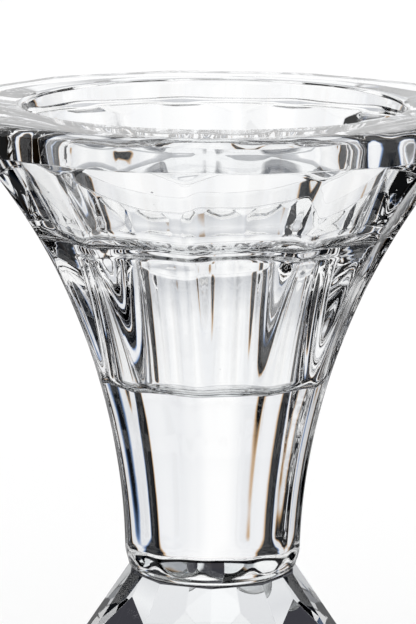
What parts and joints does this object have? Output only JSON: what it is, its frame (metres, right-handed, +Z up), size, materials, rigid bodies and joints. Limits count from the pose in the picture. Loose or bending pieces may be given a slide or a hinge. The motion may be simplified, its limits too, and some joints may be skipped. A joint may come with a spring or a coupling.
{
  "type": "glass candlestick",
  "caption": "Clear pressed-glass trumpet cup with flat flutes, bonded to a cut crystal foot; holds a tea light on its ledge or a taper candle in the socket below it.",
  "frame": {"origin": "on the candlestick's axis, on the surface it stands on", "axes": "+Z up along the axis, from the pads to the rim; -Y is the side seen from the front"},
  "size_m": [0.0714, 0.0714, 0.0944],
  "materials": {
    "pressed_glass": "pressed and fire-polished, clear",
    "clear_bond": "clear cured adhesive",
    "cut_crystal": "cut and polished facets, clear",
    "clear_rubber": "clear soft pads"
  },
  "bodies": {
    "root": {"candle_cup": "pressed_glass", "glue_film": "clear_bond", "faceted_foot": "cut_crystal", "bumper_pads": "clear_rubber"}
  },
  "joints": []
}
